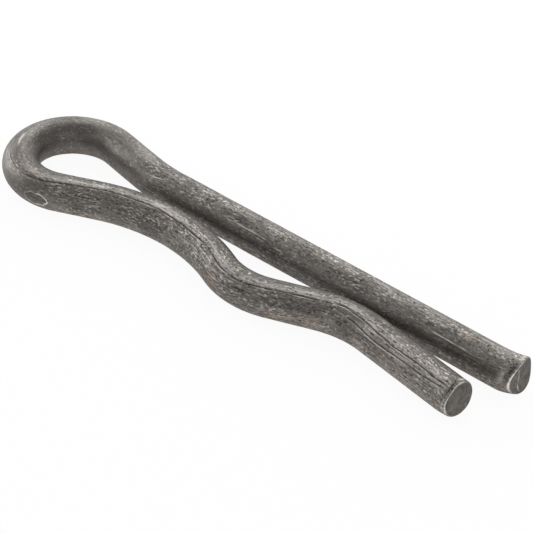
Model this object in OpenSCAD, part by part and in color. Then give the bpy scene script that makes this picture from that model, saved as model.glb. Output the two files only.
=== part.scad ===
// Hairpin cotter pin: one length of round spring wire, bent flat in one plane.
// The straight leg goes through the cross hole of a shaft. The spring leg snaps round
// the outside of that shaft, and the shaft then sits between the throat and the mouth.
// The pin lies on Z = 0 with its eye toward -X, both cut ends toward +X and the spring leg
// on the -Y side. The origin is under the middle of its outline. Lengths are millimetres.

/* [Wire] */
// Diameter of the spring wire
wire_d = 4.5; // [3.8:0.1:5.2]
// Length over all, from the outside of the eye to the end of the straight leg
overall_length = 70.7; // [64:0.1:90]

/* [Eye] */
// Clear width inside the eye
eye_inner_d = 8.1; // [7:0.1:9.5]
// Middle of the eye from the axis of the straight leg
eye_offset = 4.33; // [3.6:0.01:5]

/* [Straight leg] */
// Middle of the eye to the place where the straight leg begins
lead_in_run = 11.88; // [9:0.01:15]
// Widest bend radius, on the wire's axis, between the straight leg and the eye
lead_in_r = 21.6; // [8:0.1:30]

/* [Spring leg] */
// Middle of the eye to the throat, where the legs come close behind the shaft
throat_run = 16.54; // [14:0.01:20]
// Throat to the middle of the shaft seat, and again from there to the mouth
seat_pitch = 13.56; // [11.5:0.01:15.5]
// Space between the legs at the throat
throat_gap = 1.28; // [0.6:0.01:2]
// Space between the legs in the middle of the shaft seat
seat_gap = 4.4; // [3.6:0.01:5.2]
// Space between the legs at the mouth, in front of the shaft
mouth_gap = 0.62; // [0.3:0.01:1.5]
// Widest bend radius, on the wire's axis, at the throat
throat_r = 21.7; // [8:0.1:30]
// Bend radius, on the wire's axis, over the shaft seat
seat_r = 9.27; // [7:0.01:11]
// Widest bend radius, on the wire's axis, at the mouth
mouth_r = 12.84; // [8:0.01:16]
// Angle at which the leg's end flares away from the straight leg
flare_angle = 9.85; // [5:0.05:15]
// How far the spring leg stops short of the straight leg
setback = 2.41; // [0:0.01:6]

/* [Cut ends] */
// Radius of the rubbed rim on the spring leg's end
rim_r = 0.16; // [0.1:0.01:0.6]
// Length of the roll-over that the shear blade left on the straight leg's end
roll_length = 2; // [0.8:0.05:2.5]
// Depth of that roll-over at the end face
roll_depth = 0.4; // [0.2:0.05:0.8]
// Angle of the sheared face out of square
shear_angle = 2.5; // [0:0.5:8]
// Side that the shear blade came from, in degrees round the wire from straight down toward the spring leg
shear_turn = 40; // [-60:5:60]

/* [Forming mark] */
// Depth of the flat that the bending tool left on the outside of the eye
mark_depth = 0.13; // [0.1:0.01:0.4]
// Place of the flat round the eye, in degrees from +X
mark_angle = 281; // [240:1:290]
// Angle by which the flat leans over to face downward
mark_tilt = 5; // [0:1:15]

/* [Hidden] */
$fn = 96;
wire_color = [0.36, 0.35, 0.34];

wire_r = wire_d / 2;
eye_r = eye_inner_d / 2 + wire_r;
end_x = overall_length / 2;
eye_x = eye_r + wire_r - end_x;
leg_y = eye_offset;
leg_x = eye_x + lead_in_run;
throat_x = eye_x + throat_run;
seat_x = throat_x + seat_pitch;
mouth_x = seat_x + seat_pitch;
// Shortest straight between two bends, for the bending tool to grip
least_feed = 0.5;
// Each bend is drawn this many degrees too long and then cut square
overrun = 2;
// Reach of a cutting block past the wire that it trims
spare = 2 * wire_d;
// A turn settles within this many steps of this many degrees, by sines of this many figures
turn_tries = 60;
turn_step = 0.0001;
sine_figures = 6;

// Height of the spring leg's axis in Y where the space between the legs is gap
function spring_y(gap) = leg_y - wire_d - gap;

// Sum of two opposite bend radii that leave only the shortest straight between them in a run and a rise
function widest_bends(run, rise) = (run * run + rise * rise - least_feed * least_feed) / (2 * rise);

// The stated radii, eased where the runs beside them leave less room
lead_in_bend = min(lead_in_r, widest_bends(lead_in_run, eye_r - eye_offset) - eye_r);
throat_bend = min(
    throat_r,
    widest_bends(throat_run, spring_y(throat_gap) + eye_r) - eye_r,
    widest_bends(seat_pitch, seat_gap - throat_gap) - seat_r
);
mouth_bend = min(mouth_r, widest_bends(seat_pitch, seat_gap - mouth_gap) - seat_r);

// The bends in order from the straight leg's end: centre, radius, and 1 for a left turn or -1 for a right one
bends = [
    [[leg_x, leg_y + lead_in_bend], lead_in_bend, -1],
    [[eye_x, 0], eye_r, 1],
    [[throat_x, spring_y(throat_gap) - throat_bend], throat_bend, -1],
    [[seat_x, spring_y(seat_gap) + seat_r], seat_r, 1],
    [[mouth_x, spring_y(mouth_gap) - mouth_bend], mouth_bend, -1]
];
last = len(bends) - 1;

// The straight between two opposite bends touches both and crosses the line between their centres
function span(i) = bends[i + 1][0] - bends[i][0];
function bend_sum(i) = bends[i][1] + bends[i + 1][1];
function join_heading(i) =
    atan2(span(i)[1], span(i)[0]) + bends[i][2] * asin(min(1, bend_sum(i) / norm(span(i))));
function join_feed(i) = sqrt(max(0, span(i) * span(i) - bend_sum(i) * bend_sum(i)));

// A turn settles on the nearby angle whose rounded sine and cosine come closest to unit length,
// so that a long chain of turned lengths keeps its size and each straight meets its bend exactly
function rounded(x) =
    x == 0 ? 0 : let (unit = pow(10, sine_figures - ceil(log(abs(x))))) round(x * unit) / unit;
function length_error(a) = abs(pow(rounded(cos(a)), 2) + pow(rounded(sin(a)), 2) - 1);
function settled(a) =
    let (
        tries = [for (k = [-turn_tries:turn_tries]) (round(a / turn_step) + k) * turn_step],
        errors = [for (try = tries) length_error(try)],
        least = min(errors)
    )
    [for (k = [0:len(tries) - 1]) if (errors[k] == least) tries[k]][0];
function full_turn(a) = (a % 360 + 360) % 360;

// The wire bender's table: heading and length of each straight, then the turn of each bend
headings = [180, for (i = [0:last - 1]) join_heading(i), -flare_angle];
feeds = [
    end_x - leg_x,
    for (i = [0:last - 1]) join_feed(i),
    (end_x - setback - mouth_x - mouth_bend * sin(flare_angle)) / cos(flare_angle)
];
turns = [for (i = [0:last]) settled(full_turn(bends[i][2] * (headings[i + 1] - headings[i])))];

// Turns what is drawn along +Z to run along +X, with its own +X upward
module along_x() {
    rotate([0, 90, 0])
        rotate([0, 0, 180])
            children();
}

// A straight length of wire along +X
module straight(length) {
    along_x()
        cylinder(h = length, d = wire_d);
}

// A bend that leaves the origin along +X and turns left
module left_bend(radius, angle) {
    translate([0, radius, 0])
        rotate([0, 0, -90])
            rotate_extrude(angle = angle)
                translate([radius, 0])
                    rotate(90)
                        circle(d = wire_d);
}

// The spring leg's last straight, with its rim rubbed round
module rubbed_end(length) {
    along_x()
        rotate_extrude() {
            square([wire_r - rim_r, length]);
            square([wire_r, length - rim_r]);
            translate([wire_r - rim_r, length - rim_r])
                intersection() {
                    circle(r = rim_r);
                    square(rim_r);
                }
        }
}

// Carries what is drawn on from the end of bend number i
module after_bend(i) {
    out = bends[i][2] * bends[i][1];
    translate([0, out, 0])
        rotate([0, 0, bends[i][2] * turns[i]])
            translate([0, -out, 0])
                children();
}

// Bend number i, cut square at its end
module bend(i) {
    difference() {
        mirror([0, bends[i][2] < 0 ? 1 : 0, 0])
            left_bend(bends[i][1], turns[i] + overrun);
        after_bend(i)
            translate([0, -wire_d, -wire_d])
                cube(2 * wire_d);
    }
}

// Bend number i and all the wire after it, drawn on from the end of the straight before it
module wire_from(i) {
    bend(i);
    after_bend(i) {
        if (i == last) {
            rubbed_end(feeds[last + 1]);
        } else {
            straight(feeds[i + 1]);
            translate([feeds[i + 1], 0, 0])
                wire_from(i + 1);
        }
    }
}

// Side outline of what the shear blade left of the straight leg: the foot of its end face is at x = 0
module sheared_outline() {
    roll_r = (roll_length * roll_length + roll_depth * roll_depth) / (2 * roll_depth);
    intersection() {
        translate([0, roll_depth - wire_r])
            rotate(-shear_angle)
                translate([0, -spare])
                    square([feeds[0] + spare, wire_d + 2 * spare]);
        union() {
            translate([roll_length, -wire_r])
                square([feeds[0], wire_d + spare]);
            translate([-spare, roll_r - wire_r])
                square([feeds[0], wire_d + spare]);
            translate([roll_length, roll_r - wire_r])
                circle(r = roll_r);
        }
    }
}

// The straight leg, from its sheared end along +X
module sheared_leg() {
    intersection() {
        straight(feeds[0]);
        rotate([90 + shear_turn, 0, 0])
            linear_extrude(wire_d + spare, center = true)
                sheared_outline();
    }
}

// Flat block that trims the outside of the eye by the depth of the forming mark
module forming_mark() {
    translate([eye_x, 0, 0])
        rotate([0, 0, mark_angle])
            translate([eye_r, 0, 0])
                rotate([0, mark_tilt, 0])
                    translate([wire_r - mark_depth, -wire_d, -wire_d])
                        cube(2 * wire_d);
}

module hairpin_wire() {
    color(wire_color)
        translate([0, 0, wire_r])
            difference() {
                translate([end_x, leg_y, 0])
                    rotate([0, 0, headings[0]]) {
                        sheared_leg();
                        translate([feeds[0], 0, 0])
                            wire_from(0);
                    }
                forming_mark();
            }
}

hairpin_wire();
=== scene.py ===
"""Looks of a hairpin cotter pin: one length of dark, hard-drawn spring wire.

The wire is first drawn as a straight rod, with its cut ends, scored lines and dents, in coordinates of its
own: across it toward the inside of the hairpin, up, and along it from the end of the straight leg. Angles
round it run from the top toward the inside of the hairpin. Each point is then carried round the bends.
Lengths are metres, and MM turns millimetres into metres.
"""

import math

import bpy
import numpy as np
from mathutils import Matrix, Vector, noise


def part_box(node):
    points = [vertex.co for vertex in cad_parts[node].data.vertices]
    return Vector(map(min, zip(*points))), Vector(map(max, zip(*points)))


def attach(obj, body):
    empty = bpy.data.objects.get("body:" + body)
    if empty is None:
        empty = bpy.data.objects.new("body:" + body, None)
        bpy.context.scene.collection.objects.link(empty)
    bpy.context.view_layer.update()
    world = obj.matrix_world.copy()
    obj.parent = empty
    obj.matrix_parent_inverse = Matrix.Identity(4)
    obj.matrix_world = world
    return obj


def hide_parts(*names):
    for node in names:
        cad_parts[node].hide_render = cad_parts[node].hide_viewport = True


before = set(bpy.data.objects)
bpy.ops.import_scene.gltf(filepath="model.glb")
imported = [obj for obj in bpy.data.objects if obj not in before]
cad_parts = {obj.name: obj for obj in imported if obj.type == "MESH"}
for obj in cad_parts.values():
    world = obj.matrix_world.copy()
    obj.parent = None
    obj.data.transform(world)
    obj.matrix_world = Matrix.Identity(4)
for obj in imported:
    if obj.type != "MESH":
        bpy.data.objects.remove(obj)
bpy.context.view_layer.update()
low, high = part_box("hairpin_wire")
MM = 0.001

# Sizes of the bent wire, the same as the solid's
WIRE_R = (high.z - low.z) / 2
WIRE_D = 2 * WIRE_R
END_X = high.x
EYE_R = 4.05 * MM + WIRE_R
EYE_X = EYE_R + WIRE_R + low.x
LEG_Y = 4.33 * MM
LEAD_IN_RUN = 11.88 * MM
LEAD_IN_R = 21.6 * MM
THROAT_RUN = 16.54 * MM
SEAT_PITCH = 13.56 * MM
THROAT_GAP = 1.28 * MM
SEAT_GAP = 4.4 * MM
MOUTH_GAP = 0.62 * MM
THROAT_R = 21.7 * MM
SEAT_R = 9.27 * MM
MOUTH_R = 12.84 * MM
FLARE = math.radians(9.85)
SETBACK = 2.41 * MM

# How finely the wire is meshed
SIDES = 160
RING_PITCH = 0.25 * MM
CAP_RINGS = 14
RIM_STEPS = 6
# Power below 1 that draws the rings of an end face together toward its rim
CAP_CROWDING = 0.8
# Length over which the shape of an end's face is carried into the rings of the wire behind it
END_BLEND = 4.0 * MM

# Forms round the cut ends, in millimetres, each with the angle in degrees where it peaks and how sharply it
# falls off beside it. The shear dragged a lip up on one side of the straight leg and rolled the other over.
SHEARED_LIP = [(0.36, -29, 5.0)]
SHEARED_ROLL = [(0.42, 140, 2.0)]
SHEARED_RIM = [(0.14, 85, 3.0)]
RUBBED_LOWER_ROLL = [(0.18, -155, 2.0)]
RUBBED_UPPER_ROLL = [(0.34, -40, 7.0)]
RUBBED_RIM = [(0.10, 8, 8.0), (0.04, -86, 3.0), (0.12, -150, 2.0)]
# Least radius of both rims, and how far along the wire the lip and the rolls reach
LEAST_RIM_R = 0.08 * MM
LIP_LENGTH = 3.2 * MM
ROLL_LENGTH = 2.0 * MM
UPPER_ROLL_LENGTH = 0.9 * MM

# Sheared face: a shallow saddle, and the ridge where the blade's cut ended and the wire broke off
SHEARED_REACH = 0.07 * MM
SADDLE_DEPTH = 0.2 * MM
SADDLE_ANGLE = math.radians(21)
RIDGE_HEIGHT = 0.05 * MM
RIDGE_WIDTH = 0.12 * MM
RIDGE_OFFSET = 0.40 * MM
RIDGE_LEAN = 0.17
RIDGE_SWAY = 0.09 * MM
RIDGE_SWAY_RUN = 0.4 * MM
RIDGE_HOOK = 0.6 / MM
RIDGE_HOOK_FROM = 1.1 * MM
RIDGE_FADE = (1.85 * MM, 1.5 * MM)

# Rubbed face of the spring leg: it leans a little up and inward
RUBBED_FOOT = 0.08 * MM
RUBBED_LEAN_UP = 0.06
RUBBED_LEAN_IN = 0.07

# Unevenness of the end faces and of the skin: height and size of its features in millimetres, and a place in
# the noise
SHEARED_RELIEF = (0.02, 0.7, 3.7)
RUBBED_RELIEF = (0.02, 0.9, 8.1)
SKIN_RELIEF = [(0.012, 2.6, 1.3), (0.010, 0.55, 5.9)]

# Bright steel on the rims: the least of it, each brighter place by share, angle in degrees and sharpness,
# and the place on the quarter turn from the face to the side where it is brightest, with its reach
SHEARED_RIM_LEAST = 0.2
SHEARED_RIM_WEAR = [(0.6, 40, 0.7), (0.5, 92, 4.0)]
SHEARED_RIM_PEAK = (0.35, 0.5)
RUBBED_RIM_LEAST = 0.1
RUBBED_RIM_WEAR = [(0.5, -35, 0.7), (0.5, 8, 8.0), (0.6, -86, 5.0)]
RUBBED_RIM_PEAK = (0.3, 0.45)
# How a rim is rubbed unevenly: the mean, and each wave by size, number round the end and turn
RIM_WEAR_MEAN = 0.85
RIM_WEAR_WAVES = [(0.15, 9, 0.0), (0.15, 23, 1.0)]
# Bright steel on the ridge, how much it varies and over what length
RIDGE_WEAR = 0.42
RIDGE_WEAR_SWAY = 0.15
RIDGE_WEAR_RUN = 0.21 * MM
# Smears on the wire beside its ends: brightness, below 0 for a shadow painted just behind the rim, distance
# from the end and reach in millimetres, angle in degrees and sharpness
SHEARED_SMEARS_AND_SHADOW = [(-0.9, 0.36, 0.26, 34, 5.0), (0.6, 0.0, 0.7, -5, 8.0), (0.4, 0.9, 0.6, 68, 14.0)]
RUBBED_SMEARS_AND_SHADOW = [(-0.7, 0.28, 0.18, -28, 5.0), (0.75, 0.2, 0.3, 17, 20.0), (0.7, 0.1, 0.2, -82, 12.0)]

# Flat that the bending tool pressed into the outside of the eye
MARK_DEPTH = 0.13 * MM
MARK_ANGLE = math.radians(281)
MARK_TILT = math.radians(5)
# How far its outline strays, in outline radii, and how quickly over x, y and z, in radians a metre
MARK_STRAY = 0.09
MARK_STRAY_RATE = np.array([4.2, 3.4, 5.8]) / MM
# Places along the wire in millimetres between which its bright outline grows
MARK_FADE = (82.0, 83.6)

# Main line that the die scored along the spring leg: places along the wire in millimetres, with the line's
# angle in degrees there
MAIN_LINE = [
    (84, -29), (87, -23), (91, -19), (98, -18), (100.5, -21), (103, -24), (105, -25), (106.5, -21.5),
    (108, -22), (110, -25.5), (112.5, -32.5), (114, -33.5), (116.5, -28), (118, -26.5), (122, -24),
    (124, -22), (126.5, -15), (128, -20), (130, -25), (131.5, -29), (133, -31), (135, -33.5),
    (137, -31.5), (139, -30), (141.5, -32), (143.5, -31),
]
# The second line at the tip, in the same form
TIP_LINE = [
    (126, -34), (127.5, -40), (130, -48), (131.5, -53), (133, -54.5), (134.5, -52.5), (137, -50),
    (139.5, -49), (141, -46), (143.5, -43),
]
# All scored lines, in three sets of lines that don't cross: the set, how deep it looks, and its places
SCORED_LINES = [
    (0, 1.0, MAIN_LINE),
    (2, 1.0, [(76.5, -35), (77.6, -36), (79.8, -38.5), (81.3, -39), (82.3, -34), (83.6, -31), (85.2, -26)]),
    (0, 0.7, [(34, 50), (37, 48), (41.5, 49)]),
    (1, 1.0, TIP_LINE),
    (1, 0.6, [(104, -48), (106, -46), (108, -53)]),
    (1, 0.45, [(109.5, -63), (114.5, -64)]),
    (1, 0.6, [(0.4, 44), (1.0, 47), (2.2, 53), (4.0, 54.5), (5.7, 58), (8.0, 55), (11.0, 53.5)]),
    (2, 0.45, [(129, -36), (131, -40), (133.5, -41), (138, -38)]),
    (2, 0.6, [(125.5, -62), (129, -65), (133, -61)]),
    (2, 0.4, [(92, -53), (96, -49)]),
    (2, 0.5, [(50.4, 37), (53, 50)]),
]
# Bright scratches, which are the last set: how bright each is, and its places
SCRATCH_SET = 3
SCRATCHES = [
    (0.9, [(73.7, -11), (76.8, -10)]),
    (0.6, [(68.9, 63), (69.6, 67)]),
    (0.6, [(65.6, 66), (66.3, 70)]),
    (0.7, [(55.3, 56), (56.1, 58)]),
    (0.8, [(50.3, 33), (52.9, 47)]),
    (0.7, [(47.2, 37), (48.3, 43)]),
    (0.7, [(44.6, 33), (46.3, 34)]),
    (0.7, [(43.0, 43), (44.3, 45)]),
    (0.8, [(34.6, 45), (41.3, 46)]),
    (0.7, [(32.0, 55), (33.9, 56)]),
    (1.0, [(5.6, 50.5), (11.3, 50)]),
    (0.7, [(2.5, 9), (3.2, 10)]),
    (0.7, [(3.1, 25), (3.8, 25.5)]),
    (0.7, [(92.8, -54), (95.0, -50)]),
    (0.6, [(89.2, -75), (91.4, -70)]),
    (0.6, [(101.2, -83), (103.4, -77)]),
    (0.6, [(106.2, -64), (107.8, -55)]),
]
# Depth and half width of a groove, the length over which its ends fade, how far to its sides it is known, and
# the distances between which it sets in there
LINE_DEPTH = 0.03 * MM
LINE_HALF_WIDTH = 0.09 * MM
LINE_FADE = 1.0 * MM
LINE_REACH = 0.4 * MM
LINE_EDGE = (0.8 * LINE_REACH, 0.6 * LINE_REACH)
# How a line sways, in degrees, each with its run in millimetres
LINE_SWAYS = [(0.5, 2.3), (0.35, 0.9), (0.35, 0.37)]
# How a line breaks up: its mean strength, how much that varies and over what runs, the share that is always
# left, the share left toward the tip and where that sets in
LINE_MEAN = 0.75
LINE_BREAK = 0.3
LINE_BREAK_RUNS = (0.83 * MM, 0.29 * MM)
LEAST_LINE = 0.25
EVEN_LINE = 0.8
EVEN_RUN = (126 * MM, 131 * MM)

# Brown rust blooms: places along the wire in millimetres, angles in degrees and widths in millimetres
RUST_BLOOMS = [
    (0.6, 102, 0.5), (4.3, 92, 0.8), (6.8, 12, 0.45), (111.1, -82, 0.7), (118.7, -111, 1.0),
    (122.6, -97, 0.9), (129.7, -102, 0.7), (133.9, -83, 0.8), (136.9, -88, 0.6), (143.3, -93, 0.9),
]
# How much longer a bloom is along the wire than round it
RUST_STRETCH = 1.7
# Soft rubbed patches, the wide one on the outer side of the eye a painted highlight: place along the wire,
# half length and half width in millimetres, angle in degrees, and how strongly they are rubbed or lightened
RUBBED_PATCHES_AND_HIGHLIGHT = [(75.3, 1.5, 0.24, -10, 1.0), (77.5, 3.4, 1.4, -82, 0.7)]
# Places along the wire in millimetres between which the skin changes: where the painted shade of the inner
# flank sets in and widens, where the rubbed land with its painted highlight, the rubbed flank of the tip and
# the strip between the tip's lines set in, and where the eye's quieter grain sets in and ends
DARK_FLANK_RUN = (60, 68)
WIDE_FLANK_RUN = (78, 88)
LAND_RUN = (78, 84)
TIP_FLANK_RUN = (128, 136)
TIP_STRIP_RUN = (126, 132)
EYE_GRAIN_START = (50, 57)
EYE_GRAIN_END = (88, 80)
# Painted shade on the inner flank, between the legs: angles in degrees between which its top edge sets in,
# its foot before and after it widens, how soft the foot is, and how much darker it is
FLANK_TOP = (-2, 24)
FLANK_FOOT = 62
WIDE_FLANK_FOOT = 120
FLANK_SOFTNESS = 20
FLANK_DARKENING = 0.6
# Rubbed land above the main line, painted lighter as a highlight: distances from the line in millimetres
# between which it sets in and ends, and how light the skin past it is, below 0 for painted shade
LAND_START = (0.05, 0.25)
LAND_END = (1.2, 0.55)
LAND_BEYOND = -0.6
# Other rubbed sides of the spring leg, by share, angle in degrees and sharpness
LOW_SIDE = [(0.55, -120, 7.0)]
TIP_FLANK = [(0.4, -75, 0.7)]
# Strip between the lines at the tip: how strongly it is rubbed, and angles in degrees of its two edges
TIP_STRIP = 0.9
TIP_STRIP_LOW = (-52, -46)
TIP_STRIP_HIGH = (-26, -33)
# Quieter grain inside the hairpin, which is painted shade, and round the eye: how much quieter, and angles in
# degrees inside
QUIET_INSIDE = 0.45
QUIET_EYE = 0.55
QUIET_TOP = (36, 52)
QUIET_FOOT = (100, 84)

# Colours of the steel, as they look in plain light
# The dark oxide is also laid as painted shade on the inner flank and past the rubbed land
OXIDE_DARK_AND_SHADE = (0.088, 0.081, 0.074, 1.0)
OXIDE_GREY = (0.200, 0.186, 0.171, 1.0)
# The pits' black is also laid as a shadow painted just behind the rims
PIT_AND_SHADOW_BLACK = (0.026, 0.023, 0.022, 1.0)
# The rubbed steel is also laid as a painted highlight on the land above the main line and on the eye's outer
# side
RUBBED_STEEL_AND_HIGHLIGHT = (0.52, 0.49, 0.46, 1.0)
BARE_STEEL = (0.78, 0.75, 0.71, 1.0)
STAIN_BROWN = (0.150, 0.095, 0.060, 1.0)
RUST_BROWN = (0.400, 0.265, 0.180, 1.0)
# How strongly the dull skin reflects at a glancing angle
DULL_EDGE = (0.65, 0.65, 0.65, 1.0)
METAL_SHARE = 0.85
FACE_ROUGHNESS = 0.58
# Sizes in the skin and in the end faces, in millimetres, for the effects that the materials share
SKIN_MOTTLE = {"Patch Size": 1.6, "Grain Size": 0.2}
SKIN_STREAKS = {"Run": 3.0, "Pitch": 0.15}
FACE_MOTTLE = {"Patch Size": 1.1, "Grain Size": 0.22}
FACE_STREAKS = {"Run": 0.5, "Pitch": 0.22}
SKIN_STAIN_SIZE = 4.0
FACE_STAIN = {"Size": 3.0, "Share": 0.25}
# Scale of the grain across, up and along the wire, and of the drag lines on the end faces
GRAIN_SCALE = (1.0, 1.0, 0.45)
DRAG_SCALE = (1.0, 0.25, 1.0)
# How strongly each layer covers what is under it
STAIN_SHARE = 0.35
SPECK_SHARE = 0.85
SCRATCH_SHARE = 0.35
PIT_SHARE = 0.85
GROOVE_SHARE = 0.9
MARK_SHARE = 0.5
FACE_STAIN_SHARE = 0.4
FACE_SPECK_SHARE = 0.3
# How much of the bright lip each set of scored lines shows
LIP_SHARES = (0.75, 0.75, 0.25)
# Height of the finest relief, and how strongly it shades
SKIN_BUMP = 0.02 * MM
FACE_BUMP = 0.03 * MM
BUMP_STRENGTH = 0.5

# Studio: soft lamps by name, place, width and height in metres, and power in watts
LAMPS = [
    ("back_lamp", (-0.35, 0.75, 0.13), 1.2, 0.26, 2.2),
    ("left_lamp", (-0.8, -0.08, 0.2), 0.6, 0.4, 3.6),
    ("overhead_lamp", (-0.45, 0.60, 0.62), 0.8, 0.8, 3.9),
]
WHITE = (1.0, 1.0, 1.0, 1.0)
# Strength of the light from all round
AMBIENT = 0.66
# Half the floor's width in metres, its paper, and how far that is lifted to white where it is seen
FLOOR_HALF = 2.0
FLOOR_PAPER = (0.9, 0.9, 0.9, 1.0)
FLOOR_LIFT = 0.94
# The photograph's view: the point looked at, the camera's bearing, elevation, roll and distance from it, and
# the focal length and sensor width in millimetres
VIEW_TARGET = Vector((2.67, 0.50, 2.25)) * MM
VIEW_AZIMUTH = math.radians(37.831)
VIEW_ELEVATION = math.radians(35.604)
VIEW_ROLL = math.radians(4.532)
VIEW_DISTANCE = 304.3 * MM
VIEW_LENS = 181.93
SENSOR_WIDTH = 36.0


def spring_y(gap):
    """Place of the spring leg's axis in Y where the space between the legs is gap."""
    return LEG_Y - WIRE_D - gap


def wire_route():
    """The stretches of the wire in order, and its length.

    A stretch has its start along the wire, x, y, heading and curvature, with left turns positive.
    """
    seat_x = EYE_X + THROAT_RUN + SEAT_PITCH
    mouth_x = seat_x + SEAT_PITCH
    bends = [
        (EYE_X + LEAD_IN_RUN, LEG_Y + LEAD_IN_R, LEAD_IN_R, -1),
        (EYE_X, 0.0, EYE_R, 1),
        (EYE_X + THROAT_RUN, spring_y(THROAT_GAP) - THROAT_R, THROAT_R, -1),
        (seat_x, spring_y(SEAT_GAP) + SEAT_R, SEAT_R, 1),
        (mouth_x, spring_y(MOUTH_GAP) - MOUTH_R, MOUTH_R, -1),
    ]
    headings = [math.pi]
    feeds = [END_X - EYE_X - LEAD_IN_RUN]
    for (ax, ay, ar, side), (bx, by, br, _) in zip(bends, bends[1:]):
        span = math.hypot(bx - ax, by - ay)
        headings.append(math.atan2(by - ay, bx - ax) + side * math.asin((ar + br) / span))
        feeds.append(math.sqrt(span * span - (ar + br) ** 2))
    headings.append(-FLARE)
    feeds.append((END_X - SETBACK - mouth_x - MOUTH_R * math.sin(FLARE)) / math.cos(FLARE))
    nearly_straight = 1e-6
    stretches = []
    along, x, y, heading = 0.0, END_X, LEG_Y, headings[0]
    for i, feed in enumerate(feeds):
        stretches.append((along, x, y, heading, nearly_straight))
        along += feed
        x += feed * math.cos(heading)
        y += feed * math.sin(heading)
        if i < len(bends):
            radius, side = bends[i][2:]
            turn = side * ((side * (headings[i + 1] - heading)) % math.tau)
            stretches.append((along, x, y, heading, side / radius))
            along += radius * abs(turn)
            x += side * radius * (math.sin(heading + turn) - math.sin(heading))
            y -= side * radius * (math.cos(heading + turn) - math.cos(heading))
            heading += turn
    return np.array(stretches), along


ROUTE, WIRE_LENGTH = wire_route()
EYE_START = ROUTE[3][0]
THROAT_START = ROUTE[5][0]


def bent(across, up, along):
    """Points of the straight rod carried round the bends, as an array of x, y, z."""
    stretch = np.clip(np.searchsorted(ROUTE[:, 0], along, side="right") - 1, 0, len(ROUTE) - 1)
    start, x, y, heading, curve = (ROUTE[:, k][stretch] for k in range(5))
    turned = heading + curve * (along - start)
    x = x + (np.sin(turned) - np.sin(heading)) / curve
    y = y - (np.cos(turned) - np.cos(heading)) / curve
    return np.stack([x - across * np.sin(turned), y + across * np.cos(turned), WIRE_R + up], axis=-1)


def facing(angle, degrees, sharpness):
    """1 where an angle round the wire is at this many degrees, falling to 0 a quarter turn away."""
    return np.maximum(np.cos(angle - math.radians(degrees)), 0.0) ** sharpness


def around(angle, places):
    """The sum of some places round the wire, each with its size, its angle in degrees and its sharpness."""
    return sum(size * facing(angle, degrees, sharpness) for size, degrees, sharpness in places)


def eased(value, start, end):
    """A value carried smoothly from 0 at the start to 1 at the end."""
    t = np.clip((value - start) / (end - start), 0.0, 1.0)
    return t * t * (3.0 - 2.0 * t)


def bell(value, middle, reach):
    """1 in the middle, falling off smoothly on both sides."""
    return np.exp(-(((value - middle) / reach) ** 2))


def fading(distance, length):
    """1 at an end of the wire, falling to 0 at this length from it."""
    return np.maximum(0.0, 1 - distance / length) ** 2


def half_turns(angle):
    """An angle between half a turn one way and half a turn the other."""
    return (angle + math.pi) % math.tau - math.pi


def bumps(across, up, along, height, size, seed):
    """Smooth unevenness of a height and a size of features in millimetres, from a place in the noise."""
    points = np.stack([across, up, along], axis=-1).reshape(-1, 3) / (size * MM) + seed
    return height * MM * np.array([noise.noise(Vector(p)) for p in points]).reshape(np.shape(along))


def ridge(across, up):
    """1 along the ridge on the sheared face where the blade's cut ended and the wire broke off, 0 off it."""
    hook = RIDGE_HOOK * np.maximum(up - RIDGE_HOOK_FROM, 0.0) ** 2
    line = across - RIDGE_OFFSET - RIDGE_LEAN * up + hook + RIDGE_SWAY * np.sin(up / RIDGE_SWAY_RUN)
    return bell(line, 0.0, RIDGE_WIDTH) * eased(np.abs(up), *RIDGE_FADE)


def ridge_wear(across, up):
    """How brightly the ridge is rubbed, unevenly along it."""
    return (RIDGE_WEAR + RIDGE_WEAR_SWAY * np.sin(up / RIDGE_WEAR_RUN)) * ridge(across, up)


def sheared_cut(across, up):
    """Depth of the sheared face: a shallow saddle that the blade left, and a low ridge across it."""
    crest = up * math.cos(SADDLE_ANGLE) + across * math.sin(SADDLE_ANGLE)
    flank = across * math.cos(SADDLE_ANGLE) - up * math.sin(SADDLE_ANGLE)
    saddle = SADDLE_DEPTH * (flank ** 2 - crest ** 2) / WIRE_R ** 2
    rough = bumps(across, up, 0 * up, *SHEARED_RELIEF)
    return saddle - SHEARED_REACH - RIDGE_HEIGHT * ridge(across, up) + rough


def rubbed_cut(across, up):
    """Depth of the spring leg's end face: nearly flat, a little uneven."""
    rough = bumps(across, up, 0 * up, *RUBBED_RELIEF)
    return RUBBED_FOOT + RUBBED_LEAN_UP * up + RUBBED_LEAN_IN * across + rough


def cap_loops(angle, edge_r, rim_r, cut):
    """Loops of an end from its middle out to its side.

    Each has its radius, its depth from the end, and how far round the rim it is, below 0 on the face.
    """
    loops = []
    for k in range(1, CAP_RINGS + 1):
        radius = (edge_r - rim_r) * (k / CAP_RINGS) ** CAP_CROWDING
        depth = cut(radius * np.sin(angle), radius * np.cos(angle))
        loops.append((radius, depth, 0.0 if k == CAP_RINGS else -1.0))
    for k in range(1, RIM_STEPS + 1):
        turn = math.pi / 2 * k / RIM_STEPS
        radius = edge_r - rim_r + rim_r * math.sin(turn)
        loops.append((radius, depth + rim_r * (1 - math.cos(turn)), k / RIM_STEPS))
    return loops


def sheared_end(angle):
    """Loops of the straight leg's end, and how far its lip stands up and its other side is rolled over."""
    lip = MM * around(angle, SHEARED_LIP)
    roll = MM * around(angle, SHEARED_ROLL)
    rim_r = LEAST_RIM_R + MM * around(angle, SHEARED_RIM)
    return cap_loops(angle, WIRE_R + lip - roll, rim_r, sheared_cut), lip, roll


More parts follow.
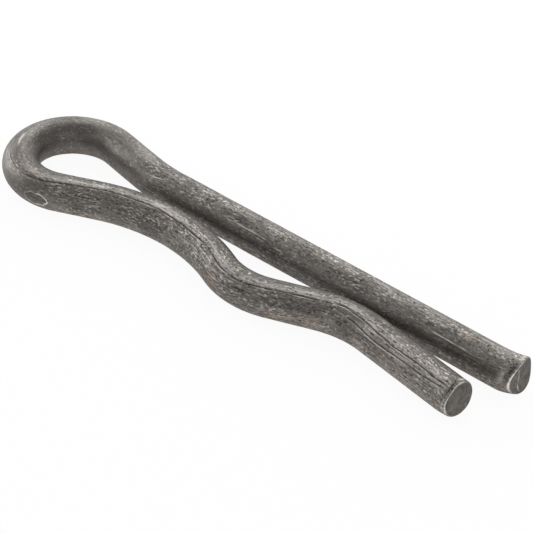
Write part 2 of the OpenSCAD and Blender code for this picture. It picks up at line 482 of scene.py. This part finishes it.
def rubbed_end(angle):
    """Loops of the spring leg's end, and how far its lower and its upper side are rolled over."""
    lower = MM * around(angle, RUBBED_LOWER_ROLL)
    upper = MM * around(angle, RUBBED_UPPER_ROLL)
    rim_r = LEAST_RIM_R + MM * around(angle, RUBBED_RIM)
    return cap_loops(angle, WIRE_R - lower - upper, rim_r, rubbed_cut), lower, upper


def rim_wear(angle, least, places):
    """How brightly a rim is rubbed, unevenly round the end."""
    waves = sum(size * np.sin(number * angle + turn) for size, number, turn in RIM_WEAR_WAVES)
    return (RIM_WEAR_MEAN + waves) * (least + around(angle, places))


def smeared_and_shaded(angle, from_end, smears):
    """Brightness of the smears beside an end, below 0 for a shadow painted just behind its rim."""
    total = np.zeros(SIDES)
    for share, place, reach, degrees, sharpness in smears:
        total += share * bell(from_end, place * MM, reach * MM) * facing(angle, degrees, sharpness)
    return total


def straight_rod():
    """The loops of the rod: angles round it, and for each loop its radii, places along the rod and
    brightness.

    That brightness is 1 where the steel is rubbed bright, and -1 where a shadow is painted just behind a rim.
    """
    angle = math.pi + np.arange(SIDES) * math.tau / SIDES
    first_cap, lip, roll = sheared_end(angle)
    last_cap, lower, upper = rubbed_end(angle)
    first_rim = rim_wear(angle, SHEARED_RIM_LEAST, SHEARED_RIM_WEAR)
    last_rim = rim_wear(angle, RUBBED_RIM_LEAST, RUBBED_RIM_WEAR)
    first_depth, last_depth = first_cap[-1][1], last_cap[-1][1]
    radii, along, wear_and_shadow = [], [], []
    for radius, depth, round_rim in first_cap:
        on_face = ridge_wear(radius * np.sin(angle), radius * np.cos(angle))
        radii.append(radius)
        along.append(depth)
        wear_and_shadow.append(on_face if round_rim < 0 else first_rim * bell(round_rim, *SHEARED_RIM_PEAK))
    rings = int((WIRE_LENGTH - 2 * RING_PITCH) / RING_PITCH)
    for s in np.linspace(RING_PITCH, WIRE_LENGTH - RING_PITCH, rings):
        near_first = max(0.0, 1 - (s - RING_PITCH) / END_BLEND)
        near_last = max(0.0, 1 - (WIRE_LENGTH - RING_PITCH - s) / END_BLEND)
        place = s + first_depth * near_first - last_depth * near_last
        from_first = place - first_depth
        from_last = WIRE_LENGTH - last_depth - place
        radius = WIRE_R + lip * fading(from_first, LIP_LENGTH) - roll * fading(from_first, ROLL_LENGTH)
        radius -= lower * fading(from_last, ROLL_LENGTH) + upper * fading(from_last, UPPER_ROLL_LENGTH)
        radii.append(radius)
        along.append(place)
        # Smears below 0 are a shadow painted just behind each rim
        wear_and_shadow.append(smeared_and_shaded(angle, from_first, SHEARED_SMEARS_AND_SHADOW) + smeared_and_shaded(angle, from_last, RUBBED_SMEARS_AND_SHADOW))
    for radius, depth, round_rim in reversed(last_cap):
        radii.append(radius)
        along.append(WIRE_LENGTH - depth)
        wear_and_shadow.append(np.zeros(SIDES) if round_rim < 0 else last_rim * bell(round_rim, *RUBBED_RIM_PEAK))
    return angle, np.array(radii), np.array(along), np.array(wear_and_shadow)


def line_angle(points, along):
    """Angle of a scored line at each place along the wire, with a slight sway."""
    places, degrees = zip(*points)
    sway = sum(size * np.sin(along / (run * MM)) for size, run in LINE_SWAYS)
    return np.radians(np.interp(along / MM, places, degrees) + sway)


def scored(angles, along):
    """Distance round the wire from the nearest line of each set, and how strongly it is scored there."""
    lines = SCORED_LINES + [(SCRATCH_SET, depth, points) for depth, points in SCRATCHES]
    offsets = np.full(angles.shape + (SCRATCH_SET + 1,), LINE_REACH)
    strengths = np.zeros(offsets.shape)
    for number, (line_set, depth, points) in enumerate(lines):
        off = WIRE_R * half_turns(angles - line_angle(points, along))
        start, end = points[0][0] * MM, points[-1][0] * MM
        fade = min(LINE_FADE, (end - start) / 3)
        ends = eased(along, start, start + fade) * eased(along, end, end - fade)
        long_run, short_run = LINE_BREAK_RUNS
        breaks = np.sin(along / long_run + number) + np.sin(along / short_run + 2 * number)
        broken = np.maximum(LINE_MEAN + LINE_BREAK * breaks, EVEN_LINE * eased(along, *EVEN_RUN))
        sides = eased(np.abs(off), *LINE_EDGE)
        here = depth * ends * sides * np.clip(broken, LEAST_LINE, 1.0)
        close = (np.abs(off) < LINE_REACH) & (ends > 0)
        offsets[..., line_set] = np.where(close, off, offsets[..., line_set])
        strengths[..., line_set] = np.where(close, here, strengths[..., line_set])
    return offsets, strengths


def skin_relief(angles, radii, along, offsets, strengths):
    """Fine unevenness of the wire, and the grooves of its scored lines. The end faces have their own."""
    across, up = radii * np.sin(angles), radii * np.cos(angles)
    relief = sum(bumps(across, up, along, *layer) for layer in SKIN_RELIEF)
    grooves = strengths[..., :SCRATCH_SET] * bell(offsets[..., :SCRATCH_SET], 0.0, LINE_HALF_WIDTH)
    relief -= LINE_DEPTH * grooves.max(axis=-1)
    relief[:CAP_RINGS] = 0.0
    relief[-CAP_RINGS:] = 0.0
    return relief


def inner_flank_shade(angles, along):
    """1 on the inside of the eye and of the spring leg, where shade between the legs is painted, 0 off it."""
    place = along / MM
    degrees = np.degrees(half_turns(angles))
    foot = FLANK_FOOT + (WIDE_FLANK_FOOT - FLANK_FOOT) * eased(place, *WIDE_FLANK_RUN)
    height = eased(degrees, *FLANK_TOP) * eased(foot - degrees, 0, FLANK_SOFTNESS)
    return height * eased(place, *DARK_FLANK_RUN)


def rubbed_highlight_shade(angles, along):
    """How far the skin is rubbed or painted lighter than the rest, or below 0 how far it is painted darker as
    shade.

    The lightest is the land above the main line of the spring leg, a painted highlight on rubbed steel, with
    painted shade past it. Its low side, the flank of its tip and the strip between the lines there are rubbed
    too.
    The inner flank is painted shade.
    """
    place = along / MM
    degrees = np.degrees(half_turns(angles))
    above = WIRE_R * half_turns(angles - line_angle(MAIN_LINE, along)) / MM
    # Painted highlight on the land above the main line, and painted shade past it
    land = eased(above, *LAND_START) * (LAND_BEYOND + (1 - LAND_BEYOND) * eased(above, *LAND_END))
    strip = TIP_STRIP * eased(degrees, *TIP_STRIP_LOW) * eased(degrees, *TIP_STRIP_HIGH)
    tone_shift = (land + around(angles, LOW_SIDE)) * eased(place, *LAND_RUN)
    tone_shift += around(angles, TIP_FLANK) * eased(place, *TIP_FLANK_RUN) + strip * eased(place, *TIP_STRIP_RUN)
    # Rubbed patches; the wide one on the eye's outer side is a painted highlight
    for middle, half_length, half_width, patch_degrees, share in RUBBED_PATCHES_AND_HIGHLIGHT:
        off = WIRE_R * half_turns(angles - math.radians(patch_degrees)) / (half_width * MM)
        tone_shift = tone_shift + share * np.exp(-off ** 2 - ((place - middle) / half_length) ** 4)
    # Painted shade on the inner flank, between the legs
    return tone_shift - FLANK_DARKENING * inner_flank_shade(angles, along)


def grain_strength(angles, along):
    """How strongly the grain shows: less on the inside of the hairpin as painted shade, and less round the
    eye.
    """
    place = along / MM
    degrees = np.degrees(half_turns(angles))
    inside = np.maximum(eased(degrees, *QUIET_TOP) * eased(degrees, *QUIET_FOOT), inner_flank_shade(angles, along))
    eye = eased(place, *EYE_GRAIN_START) * eased(place, *EYE_GRAIN_END)
    return (1 - QUIET_INSIDE * inside) * (1 - QUIET_EYE * eye)


def rust_blooms(angles, along):
    """1 in the middle of each rust bloom, fading outward."""
    rust = np.zeros(angles.shape)
    for place, degrees, width in RUST_BLOOMS:
        off = WIRE_R * half_turns(angles - math.radians(degrees))
        reach = (off ** 2 + ((along - place * MM) / RUST_STRETCH) ** 2) / (width * MM) ** 2
        rust = np.maximum(rust, np.exp(-reach))
    return rust


def forming_mark(points, along):
    """The points with the bending tool's flat pressed in, and how far outside its outline each one lies.

    That is 0 on the outline and -1 in its middle, in outline radii.
    """
    level = math.cos(MARK_TILT)
    east, north = math.cos(MARK_ANGLE), math.sin(MARK_ANGLE)
    outward = np.array([east * level, north * level, -math.sin(MARK_TILT)])
    hub = np.array([EYE_X + EYE_R * east, EYE_R * north, WIRE_R])
    height = (points - hub) @ outward - (WIRE_R - MARK_DEPTH)
    on_eye = (along > EYE_START) & (along < THROAT_START)
    height = np.where(on_eye, height, -WIRE_R)
    outside = np.sqrt(np.maximum(0.0, 1.0 - height / MARK_DEPTH)) - 1.0
    outside += MARK_STRAY * np.sin(points @ MARK_STRAY_RATE)
    return points - np.maximum(height, 0.0)[:, None] * outward, outside


def closed_faces(loops):
    """Faces that join the loops and close both ends on a middle point, and which of them are end faces."""
    index = np.arange(loops * SIDES).reshape(loops, SIDES)
    beside = np.roll(index, -1, axis=1)
    quads = np.stack([index[:-1], index[1:], beside[1:], beside[:-1]], axis=-1).reshape(-1, 4).tolist()
    first, last = loops * SIDES, loops * SIDES + 1
    fans = [(first, a, b) for a, b in zip(index[0].tolist(), beside[0].tolist())]
    fans += [(last, b, a) for a, b in zip(index[-1].tolist(), beside[-1].tolist())]
    on_end = np.zeros(loops - 1, bool)
    on_end[:CAP_RINGS - 1] = True
    on_end[-(CAP_RINGS - 1):] = True
    return quads + fans, np.concatenate([np.repeat(on_end, SIDES), np.ones(len(fans), bool)])


def write_attribute(mesh, name, values):
    """A value or a vector on each point of a mesh, for its materials to read. Points past the last get 0."""
    size = values.shape[-1]
    kind, field = ("FLOAT_VECTOR", "vector") if size == 3 else ("FLOAT", "value")
    filled = np.zeros((len(mesh.vertices), size), np.float32)
    filled[:len(values)] = values
    mesh.attributes.new(name, kind, "POINT").data.foreach_set(field, filled.ravel())


def wire_mesh():
    """The bent wire as one closed mesh, with the rod's own coordinates and its marks as attributes."""
    angle, radii, along, wear_and_shadow = straight_rod()
    angles = np.broadcast_to(angle, radii.shape)
    offsets, strengths = scored(angles, along)
    radii = radii + skin_relief(angles, radii, along, offsets, strengths)
    rod = np.stack([radii * np.sin(angles), radii * np.cos(angles), along], axis=-1).reshape(-1, 3)
    rod = np.concatenate([rod, [(0.0, 0.0, along[0].mean()), (0.0, 0.0, along[-1].mean())]])
    points, outside = forming_mark(bent(*rod.T), rod[:, 2])
    faces, on_end = closed_faces(len(radii))
    mesh = bpy.data.meshes.new("hairpin_wire_skin")
    mesh.from_pydata(points.tolist(), [], faces)
    mesh.polygons.foreach_set("material_index", on_end.astype(np.int32))
    mesh.polygons.foreach_set("use_smooth", np.ones(len(faces), bool))
    marks = {
        "line_offset": offsets[..., :SCRATCH_SET] / MM,
        "line_strength": strengths[..., :SCRATCH_SET],
        "scratch_offset": offsets[..., SCRATCH_SET] / MM,
        "scratch_strength": strengths[..., SCRATCH_SET],
        "wear_and_shadow": wear_and_shadow,
        # Rubbed skin with painted highlights, and below 0 painted shade
        "rubbing_highlight_shade": rubbed_highlight_shade(angles, along),
        "grain": grain_strength(angles, along),
        "rust": rust_blooms(angles, along),
    }
    write_attribute(mesh, "rod", rod / MM)
    write_attribute(mesh, "mark", outside.reshape(-1, 1))
    for name, values in marks.items():
        write_attribute(mesh, name, values.reshape(radii.size, -1))
    mesh.update()
    return mesh


def add(tree, kind, feeds=None, **settings):
    """A new node with its settings, and each named input linked or set."""
    node = tree.nodes.new(kind)
    for name, value in settings.items():
        setattr(node, name, value)
    for name, value in (feeds or {}).items():
        if isinstance(value, bpy.types.NodeSocket):
            tree.links.new(value, node.inputs[name])
        else:
            node.inputs[name].default_value = value
    return node


def maths(tree, operation, a, b=0.0):
    """The result of a sum on two values."""
    return add(tree, "ShaderNodeMath", {0: a, 1: b}, operation=operation).outputs[0]


def times(tree, a, b):
    """One value or mask multiplied by another."""
    return maths(tree, "MULTIPLY", a, b)


def scaled(tree, vector, scale):
    """A vector multiplied by three constant values."""
    return add(tree, "ShaderNodeVectorMath", {0: vector, 1: scale}, operation="MULTIPLY").outputs[0]


def parts_of(tree, vector):
    """The three values of a vector."""
    return add(tree, "ShaderNodeSeparateXYZ", {0: vector}).outputs


def ramp(tree, value, start, end, start_out=0.0, end_out=1.0):
    """A value carried smoothly from one range to another and held at its ends."""
    feeds = {"Value": value, "From Min": start, "From Max": end, "To Min": start_out, "To Max": end_out}
    return add(tree, "ShaderNodeMapRange", feeds, interpolation_type="SMOOTHSTEP").outputs["Result"]


def between(tree, share, base, over):
    """A value carried from one value to another by a share from 0 to 1."""
    return add(tree, "ShaderNodeMix", {0: share, 2: base, 3: over}, data_type="FLOAT").outputs[0]


def blend(tree, share, base, over):
    """One colour laid over another by a share from 0 to 1."""
    return add(tree, "ShaderNodeMix", {0: share, 6: base, 7: over}, data_type="RGBA").outputs[2]


def cloud(tree, position, scale, detail=2.0, roughness=0.55):
    """Noise over a position."""
    feeds = {"Vector": position, "Scale": scale, "Detail": detail, "Roughness": roughness}
    return add(tree, "ShaderNodeTexNoise", feeds).outputs["Fac"]


def new_group(name, inputs, outputs):
    """An empty shader node group with named sockets: its tree, its inputs and its outputs."""
    tree = bpy.data.node_groups.new(name, "ShaderNodeTree")
    for label, kind in inputs.items():
        tree.interface.new_socket(label, in_out="INPUT", socket_type="NodeSocket" + kind)
    for label in outputs:
        tree.interface.new_socket(label, in_out="OUTPUT", socket_type="NodeSocketFloat")
    return tree, tree.nodes.new("NodeGroupInput").outputs, tree.nodes.new("NodeGroupOutput").inputs


def mottled_oxide():
    """Patches of thick and thin oxide, light specks where the high spots are rubbed, and dark pits."""
    inputs = {"Position": "Vector", "Patch Size": "Float", "Grain Size": "Float"}
    tree, given, out = new_group("mottled_oxide", inputs, ["Patch", "Speck", "Pit"])
    position = given["Position"]
    patch_scale = maths(tree, "DIVIDE", 1.0, given["Patch Size"])
    grain_scale = maths(tree, "DIVIDE", 1.0, given["Grain Size"])
    elsewhere = {0: position, 1: (17.0, 5.0, 31.0)}
    moved = add(tree, "ShaderNodeVectorMath", elsewhere, operation="ADD").outputs[0]
    crowd = ramp(tree, cloud(tree, moved, patch_scale, 1.0), 0.35, 0.62, 0.35, 1.0)
    speck = ramp(tree, cloud(tree, position, grain_scale, 1.0), 0.51, 0.72)
    patch = ramp(tree, cloud(tree, position, patch_scale, 3.0, 0.62), 0.30, 0.70)
    pit = ramp(tree, cloud(tree, moved, grain_scale, 1.0), 0.48, 0.26)
    tree.links.new(patch, out["Patch"])
    tree.links.new(times(tree, speck, crowd), out["Speck"])
    tree.links.new(pit, out["Pit"])
    return tree


def drawn_streaks():
    """Fine streaks that run along the wire from the drawing die, and crisper scratches among them."""
    inputs = {"Position": "Vector", "Run": "Float", "Pitch": "Float"}
    tree, given, out = new_group("drawn_streaks", inputs, ["Streak", "Scratch"])
    split = parts_of(tree, given["Position"])
    across = maths(tree, "DIVIDE", split[0], given["Pitch"])
    up = maths(tree, "DIVIDE", split[1], given["Pitch"])
    along = maths(tree, "DIVIDE", split[2], given["Run"])
    drawn = add(tree, "ShaderNodeCombineXYZ", {0: across, 1: up, 2: along}).outputs[0]
    tree.links.new(ramp(tree, cloud(tree, drawn, 1.0, 3.0, 0.6), 0.34, 0.66), out["Streak"])
    tree.links.new(ramp(tree, cloud(tree, drawn, 1.7, 1.0, 0.4), 0.64, 0.74), out["Scratch"])
    return tree


def brown_stain():
    """Thin brown bloom of old oil and rust in soft patches."""
    inputs = {"Position": "Vector", "Size": "Float", "Share": "Float"}
    tree, given, out = new_group("brown_stain", inputs, ["Stain"])
    patches = cloud(tree, given["Position"], maths(tree, "DIVIDE", 1.0, given["Size"]), 4.0, 0.65)
    edge = maths(tree, "SUBTRACT", 0.85, given["Share"])
    tree.links.new(ramp(tree, patches, edge, maths(tree, "ADD", edge, 0.18)), out["Stain"])
    return tree


def scored_line():
    """A line that the die scored: the dark groove, and the bright lip thrown up along its one side."""
    inputs = {"Offset": "Float", "Strength": "Float"}
    tree, given, out = new_group("scored_line", inputs, ["Groove", "Lip"])
    offset, strength = given["Offset"], given["Strength"]
    groove = ramp(tree, maths(tree, "ABSOLUTE", offset), 0.11, 0.03)
    lip = times(tree, ramp(tree, offset, -0.26, -0.18), ramp(tree, offset, -0.06, -0.14))
    tree.links.new(times(tree, groove, strength), out["Groove"])
    tree.links.new(times(tree, lip, strength), out["Lip"])
    return tree


MOTTLE = mottled_oxide()
STREAKS = drawn_streaks()
STAIN = brown_stain()
LINE = scored_line()


def effect(tree, group, feeds):
    """One of the node groups placed in a material with its own values: its outputs."""
    return add(tree, "ShaderNodeGroup", feeds, node_tree=group).outputs


def attribute(tree, name, output="Fac"):
    """A value that the mesh carries on its points."""
    return add(tree, "ShaderNodeAttribute", attribute_name=name).outputs[output]


def new_material(name):
    """An empty material with a metal shader in it: the material, its tree and that shader."""
    material = bpy.data.materials.new(name)
    material.use_nodes = True
    tree = material.node_tree
    tree.nodes.clear()
    shader = add(tree, "ShaderNodeBsdfPrincipled", {"Metallic": METAL_SHARE, "Specular Tint": DULL_EDGE})
    add(tree, "ShaderNodeOutputMaterial", {"Surface": shader.outputs[0]})
    return material, tree, shader


def roughen(tree, shader, height, distance):
    """Fine relief of a height mask on a shader."""
    feeds = {"Strength": BUMP_STRENGTH, "Distance": distance, "Height": height}
    tree.links.new(add(tree, "ShaderNodeBump", feeds).outputs[0], shader.inputs["Normal"])


def stained_rubbed_lit_and_shaded(tree, colour, position, mottle, streaks):
    """Brown stain on the low side, then painted shade and rubbed skin with painted highlights, then rust
    blooms.
    """
    low_side = ramp(tree, parts_of(tree, position)[1], 0.2, -1.2, 0.22, 0.5)
    stain = effect(tree, STAIN, {"Position": position, "Size": SKIN_STAIN_SIZE, "Share": low_side})["Stain"]
    colour = blend(tree, times(tree, stain, STAIN_SHARE), colour, STAIN_BROWN)
    rubbing_highlight_shade = attribute(tree, "rubbing_highlight_shade")
    # Painted shade, laid in the dark oxide
    colour = blend(tree, ramp(tree, rubbing_highlight_shade, 0.0, -0.9), colour, OXIDE_DARK_AND_SHADE)
    grained = ramp(tree, streaks["Streak"], 0.1, 0.9, 0.14, 0.42)
    # Rubbed steel, with the painted highlights on the land and on the eye's outer side
    colour = blend(tree, times(tree, ramp(tree, rubbing_highlight_shade, 0.0, 1.0), grained), colour, RUBBED_STEEL_AND_HIGHLIGHT)
    bloom = times(tree, attribute(tree, "rust"), ramp(tree, mottle["Patch"], 0.1, 0.7, 0.08, 0.28))
    return blend(tree, bloom, colour, RUST_BROWN)


def grained_over(tree, colour, grain, mottle, streaks):
    """Rubbed specks, fine scratches and black pits laid over a colour."""
    speck = times(tree, times(tree, mottle["Speck"], SPECK_SHARE), grain)
    scratch = times(tree, times(tree, streaks["Scratch"], SCRATCH_SHARE), grain)
    pit = times(tree, times(tree, mottle["Pit"], PIT_SHARE), grain)
    colour = blend(tree, speck, colour, RUBBED_STEEL_AND_HIGHLIGHT)
    colour = blend(tree, scratch, colour, RUBBED_STEEL_AND_HIGHLIGHT)
    return blend(tree, pit, colour, PIT_AND_SHADOW_BLACK)


def scored_over(tree, colour, streaks):
    """The three sets of scored lines and the bright scratches laid over a colour."""
    offsets = parts_of(tree, attribute(tree, "line_offset", "Vector"))
    strengths = parts_of(tree, attribute(tree, "line_strength", "Vector"))
    patchy = ramp(tree, streaks["Streak"], 0.25, 0.75)
    for offset, strength, lip_share in zip(offsets, strengths, LIP_SHARES):
        line = effect(tree, LINE, {"Offset": offset, "Strength": strength})
        colour = blend(tree, times(tree, times(tree, line["Lip"], lip_share), patchy), colour, RUBBED_STEEL_AND_HIGHLIGHT)
        colour = blend(tree, times(tree, line["Groove"], GROOVE_SHARE), colour, PIT_AND_SHADOW_BLACK)
    scratch = ramp(tree, maths(tree, "ABSOLUTE", attribute(tree, "scratch_offset")), 0.12, 0.03)
    return blend(tree, times(tree, scratch, attribute(tree, "scratch_strength")), colour, RUBBED_STEEL_AND_HIGHLIGHT)


def marked_over(tree, colour, position, mottle):
    """The forming mark laid over a colour: darker inside, with a bright outline that fades to one end."""
    outside = attribute(tree, "mark")
    outline = times(tree, ramp(tree, outside, 0.12, 0.04), ramp(tree, outside, -0.08, -0.01))
    outline = times(tree, outline, ramp(tree, mottle["Patch"], 0.0, 0.6, 0.35, 0.9))
    outline = times(tree, outline, ramp(tree, parts_of(tree, position)[2], *MARK_FADE, 0.4, 1.0))
    colour = blend(tree, times(tree, ramp(tree, outside, 0.0, -0.15), MARK_SHARE), colour, OXIDE_DARK_AND_SHADE)
    return blend(tree, outline, colour, BARE_STEEL)


def worn_and_shaded_over(tree, colour, mottle):
    """Painted shadow just behind the ends' rims, and bare steel on the rims, laid over a colour."""
    wear_and_shadow = attribute(tree, "wear_and_shadow")
    # Painted shadow: black laid just behind the rims where the smears fall below 0
    colour = blend(tree, ramp(tree, wear_and_shadow, 0.0, -0.9), colour, PIT_AND_SHADOW_BLACK)
    tone_shift = times(tree, ramp(tree, wear_and_shadow, 0.0, 0.9), ramp(tree, mottle["Patch"], 0.0, 0.7, 0.7, 1.0))
    return blend(tree, tone_shift, colour, BARE_STEEL)


def drawn_wire_skin():
    """Dark oxide over drawn steel, streaked along the wire, scored, stained, worn, and painted with light and
    shade.
    """
    material, tree, shader = new_material("drawn_wire_skin")
    position = attribute(tree, "rod", "Vector")
    grain = attribute(tree, "grain")
    mottle = effect(tree, MOTTLE, {"Position": scaled(tree, position, GRAIN_SCALE), **SKIN_MOTTLE})
    streaks = effect(tree, STREAKS, {"Position": position, **SKIN_STREAKS})
    drawn = between(tree, grain, 0.5, streaks["Streak"])
    tone = maths(tree, "ADD", times(tree, mottle["Patch"], 0.5), times(tree, drawn, 0.5))
    colour = blend(tree, tone, OXIDE_DARK_AND_SHADE, OXIDE_GREY)
    colour = stained_rubbed_lit_and_shaded(tree, colour, position, mottle, streaks)
    colour = grained_over(tree, colour, grain, mottle, streaks)
    colour = scored_over(tree, colour, streaks)
    colour = marked_over(tree, colour, position, mottle)
    colour = worn_and_shaded_over(tree, colour, mottle)
    tree.links.new(colour, shader.inputs["Base Color"])
    tree.links.new(ramp(tree, tone, 0.0, 1.0, 0.56, 0.42), shader.inputs["Roughness"])
    relief = maths(tree, "ADD", times(tree, streaks["Streak"], 0.5), mottle["Speck"])
    roughen(tree, shader, maths(tree, "SUBTRACT", relief, mottle["Pit"]), SKIN_BUMP)
    return material


def cut_end_face():
    """Broken steel at the ends, darkened like the rest, with short drag lines from the shear."""
    material, tree, shader = new_material("cut_end_face")
    position = attribute(tree, "rod", "Vector")
    mottle = effect(tree, MOTTLE, {"Position": position, **FACE_MOTTLE})
    streaks = effect(tree, STREAKS, {"Position": scaled(tree, position, DRAG_SCALE), **FACE_STREAKS})
    stain = effect(tree, STAIN, {"Position": position, **FACE_STAIN})["Stain"]
    tone = maths(tree, "ADD", times(tree, mottle["Patch"], 0.6), times(tree, streaks["Streak"], 0.4))
    colour = blend(tree, tone, OXIDE_DARK_AND_SHADE, OXIDE_GREY)
    colour = blend(tree, times(tree, stain, FACE_STAIN_SHARE), colour, STAIN_BROWN)
    colour = blend(tree, times(tree, mottle["Speck"], FACE_SPECK_SHARE), colour, RUBBED_STEEL_AND_HIGHLIGHT)
    colour = blend(tree, ramp(tree, attribute(tree, "wear_and_shadow"), 0.0, 0.9), colour, BARE_STEEL)
    tree.links.new(colour, shader.inputs["Base Color"])
    shader.inputs["Roughness"].default_value = FACE_ROUGHNESS
    relief = maths(tree, "ADD", mottle["Patch"], times(tree, streaks["Streak"], 0.6))
    roughen(tree, shader, relief, FACE_BUMP)
    return material


def bent_wire():
    """The one piece of the pin."""
    mesh = wire_mesh()
    piece = bpy.data.objects.new("hairpin_wire_skin", mesh)
    bpy.context.scene.collection.objects.link(piece)
    mesh.materials.append(drawn_wire_skin())
    mesh.materials.append(cut_end_face())
    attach(piece, "root")
    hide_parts("hairpin_wire")


def floor_paper():
    """Paper that the camera and reflections see nearly white, with the pin's soft shadow still on it."""
    material = bpy.data.materials.new("white_floor")
    material.use_nodes = True
    tree = material.node_tree
    tree.nodes.clear()
    paper = add(tree, "ShaderNodeBsdfDiffuse", {"Color": FLOOR_PAPER})
    glow = add(tree, "ShaderNodeEmission", {"Color": WHITE, "Strength": 1.0})
    path = add(tree, "ShaderNodeLightPath").outputs
    seen = maths(tree, "MAXIMUM", path["Is Camera Ray"], path["Is Glossy Ray"])
    seen = maths(tree, "MAXIMUM", seen, path["Is Transmission Ray"])
    feeds = {0: times(tree, seen, FLOOR_LIFT), 1: paper.outputs[0], 2: glow.outputs[0]}
    mix = add(tree, "ShaderNodeMixShader", feeds)
    add(tree, "ShaderNodeOutputMaterial", {"Surface": mix.outputs[0]})
    return material


def white_floor():
    """The floor that the pin lies on."""
    half = FLOOR_HALF
    corners = [(-half, -half, 0), (half, -half, 0), (half, half, 0), (-half, half, 0)]
    mesh = bpy.data.meshes.new("floor")
    mesh.from_pydata(corners, [], [(0, 1, 2, 3)])
    mesh.materials.append(floor_paper())
    floor = bpy.data.objects.new("floor", mesh)
    bpy.context.scene.collection.objects.link(floor)


def soft_lamp(name, place, width, height, power):
    """A soft lamp that looks at the pin."""
    light = bpy.data.lights.new(name, "AREA")
    light.shape = "RECTANGLE"
    light.size = width
    light.size_y = height
    light.energy = power
    lamp = bpy.data.objects.new(name, light)
    lamp.location = place
    lamp.rotation_euler = (VIEW_TARGET - lamp.location).to_track_quat("-Z", "Y").to_euler()
    bpy.context.scene.collection.objects.link(lamp)


def studio():
    """Even light all round, wide soft lamps low at the back and the left, and one higher up behind."""
    world = bpy.data.worlds.new("studio")
    world.use_nodes = True
    sky = world.node_tree.nodes["Background"].inputs
    sky["Color"].default_value = WHITE
    sky["Strength"].default_value = AMBIENT
    scene = bpy.context.scene
    scene.world = world
    scene.view_settings.view_transform = "Standard"
    for lamp in LAMPS:
        soft_lamp(*lamp)


def photo_camera():
    """The camera where the photograph was taken from, rolled as it was held."""
    lens = bpy.data.cameras.new("photo_camera")
    lens.lens = VIEW_LENS
    lens.sensor_width = SENSOR_WIDTH
    camera = bpy.data.objects.new("photo_camera", lens)
    level = math.cos(VIEW_ELEVATION)
    east, south = math.sin(VIEW_AZIMUTH) * level, math.cos(VIEW_AZIMUTH) * level
    back = Vector((east, -south, math.sin(VIEW_ELEVATION)))
    turn = (-back).to_track_quat("-Z", "Y").to_matrix() @ Matrix.Rotation(VIEW_ROLL, 3, "Z")
    camera.matrix_world = Matrix.Translation(VIEW_TARGET + back * VIEW_DISTANCE) @ turn.to_4x4()
    bpy.context.scene.collection.objects.link(camera)
    bpy.context.scene.camera = camera


photo_camera()
studio()
white_floor()
bent_wire()
